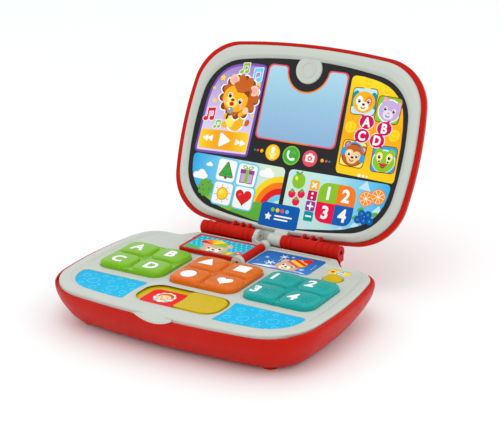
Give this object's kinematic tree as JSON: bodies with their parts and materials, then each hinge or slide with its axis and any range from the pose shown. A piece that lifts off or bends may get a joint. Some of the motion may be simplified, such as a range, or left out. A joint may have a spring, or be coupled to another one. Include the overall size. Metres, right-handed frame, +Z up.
{
  "type": "toy laptop computer",
  "caption": "Clam-shell toy laptop with raised shape keys, a flip-over page, a slide picture, a music button and a play mirror in its lid.",
  "frame": {"origin": "centre of the base's footprint, on the table", "axes": "+X along the hinge to the child's right, +Y from the child to the hinge, +Z up; the lid is drawn open by 115 degrees"},
  "size_m": [0.2588, 0.2792, 0.2015],
  "materials": {
    "red_shell": "satin-gloss moulded plastic",
    "grey_shell": "satin moulded plastic",
    "green_key": "glossy moulded plastic",
    "orange_key": "glossy moulded plastic",
    "teal_key": "glossy moulded plastic",
    "yellow_part": "satin moulded plastic",
    "panel_print": "printed label film",
    "tab_print": "printed label film",
    "blue_print": "printed label film",
    "picture_print": "printed label film",
    "page_print": "printed label film",
    "yellow_print": "printed label film",
    "red_print": "printed label film",
    "mirror_film": "acrylic play mirror",
    "steel": "plated steel",
    "board": "printed circuit board",
    "membrane": "moulded silicone",
    "speaker": "paper cone in a steel frame",
    "battery": "battery sleeve"
  },
  "bodies": {
    "base": {"base_shell": "red_shell", "deck_cover": "grey_shell", "battery_door": "red_shell", "battery_door_screw": "steel", "batteries": "battery", "battery_contacts": "steel", "circuit_board": "board", "board_screws": "steel", "switch_membrane": "membrane", "speaker": "speaker", "casing_screws": "steel", "palm_label_left": "blue_print", "palm_label_right": "blue_print", "winter_picture_label": "picture_print", "under_page_label": "page_print", "button_label": "yellow_print", "slider_tray": "yellow_part", "slider_label_left": "red_print", "slider_label_right": "red_print", "hinge_pin_left": "steel", "hinge_pin_right": "steel"},
    "lid": {"lid_shell": "red_shell", "lid_bezel": "grey_shell", "lid_label": "panel_print", "lid_mirror": "mirror_film", "tab_label": "tab_print", "lid_screws": "steel"},
    "page": {"page_frame": "red_shell", "page_label_front": "page_print", "page_label_back": "page_print"},
    "slider": {"slider_knob": "yellow_part"},
    "music_button": {"music_button": "yellow_part"},
    "key_a": {"key_a": "green_key"},
    "key_b": {"key_b": "green_key"},
    "key_c": {"key_c": "green_key"},
    "key_d": {"key_d": "green_key"},
    "key_triangle": {"key_triangle": "orange_key"},
    "key_square": {"key_square": "orange_key"},
    "key_circle": {"key_circle": "orange_key"},
    "key_heart": {"key_heart": "orange_key"},
    "key_1": {"key_1": "teal_key"},
    "key_2": {"key_2": "teal_key"},
    "key_3": {"key_3": "teal_key"},
    "key_4": {"key_4": "teal_key"}
  },
  "joints": [
    {"name": "lid_hinge", "type": "hinge", "parent": "base", "child": "lid", "pos_m": [0, 0.092, 0.0422], "axis": [1, 0, 0], "range_deg": [0, 118]},
    {"name": "page_hinge", "type": "hinge", "parent": "base", "child": "page", "pos_m": [0.001, 0.058, 0.0394], "axis": [0, 1, 0], "range_deg": [0, 180]},
    {"name": "slider_slide", "type": "slide", "parent": "base", "child": "slider", "axis": [1, 0, 0], "range_m": [-0.032, 0]},
    {"name": "key_a_press", "type": "slide", "parent": "base", "child": "key_a", "axis": [0, 0, -1], "range_m": [0, 0.0025], "stiffness_N_per_m": 400, "springref_m": -0.001},
    {"name": "key_b_press", "type": "slide", "parent": "base", "child": "key_b", "axis": [0, 0, -1], "range_m": [0, 0.0025], "stiffness_N_per_m": 400, "springref_m": -0.001},
    {"name": "key_c_press", "type": "slide", "parent": "base", "child": "key_c", "axis": [0, 0, -1], "range_m": [0, 0.0025], "stiffness_N_per_m": 400, "springref_m": -0.001},
    {"name": "key_d_press", "type": "slide", "parent": "base", "child": "key_d", "axis": [0, 0, -1], "range_m": [0, 0.0025], "stiffness_N_per_m": 400, "springref_m": -0.001},
    {"name": "key_triangle_press", "type": "slide", "parent": "base", "child": "key_triangle", "axis": [0, 0, -1], "range_m": [0, 0.0025], "stiffness_N_per_m": 400, "springref_m": -0.001},
    {"name": "key_square_press", "type": "slide", "parent": "base", "child": "key_square", "axis": [0, 0, -1], "range_m": [0, 0.0025], "stiffness_N_per_m": 400, "springref_m": -0.001},
    {"name": "key_circle_press", "type": "slide", "parent": "base", "child": "key_circle", "axis": [0, 0, -1], "range_m": [0, 0.0025], "stiffness_N_per_m": 400, "springref_m": -0.001},
    {"name": "key_heart_press", "type": "slide", "parent": "base", "child": "key_heart", "axis": [0, 0, -1], "range_m": [0, 0.0025], "stiffness_N_per_m": 400, "springref_m": -0.001},
    {"name": "key_1_press", "type": "slide", "parent": "base", "child": "key_1", "axis": [0, 0, -1], "range_m": [0, 0.0025], "stiffness_N_per_m": 400, "springref_m": -0.001},
    {"name": "key_2_press", "type": "slide", "parent": "base", "child": "key_2", "axis": [0, 0, -1], "range_m": [0, 0.0025], "stiffness_N_per_m": 400, "springref_m": -0.001},
    {"name": "key_3_press", "type": "slide", "parent": "base", "child": "key_3", "axis": [0, 0, -1], "range_m": [0, 0.0025], "stiffness_N_per_m": 400, "springref_m": -0.001},
    {"name": "key_4_press", "type": "slide", "parent": "base", "child": "key_4", "axis": [0, 0, -1], "range_m": [0, 0.0025], "stiffness_N_per_m": 400, "springref_m": -0.001},
    {"name": "music_button_press", "type": "slide", "parent": "base", "child": "music_button", "axis": [0, 0, -1], "range_m": [0, 0.0025], "stiffness_N_per_m": 400, "springref_m": -0.001}
  ]
}
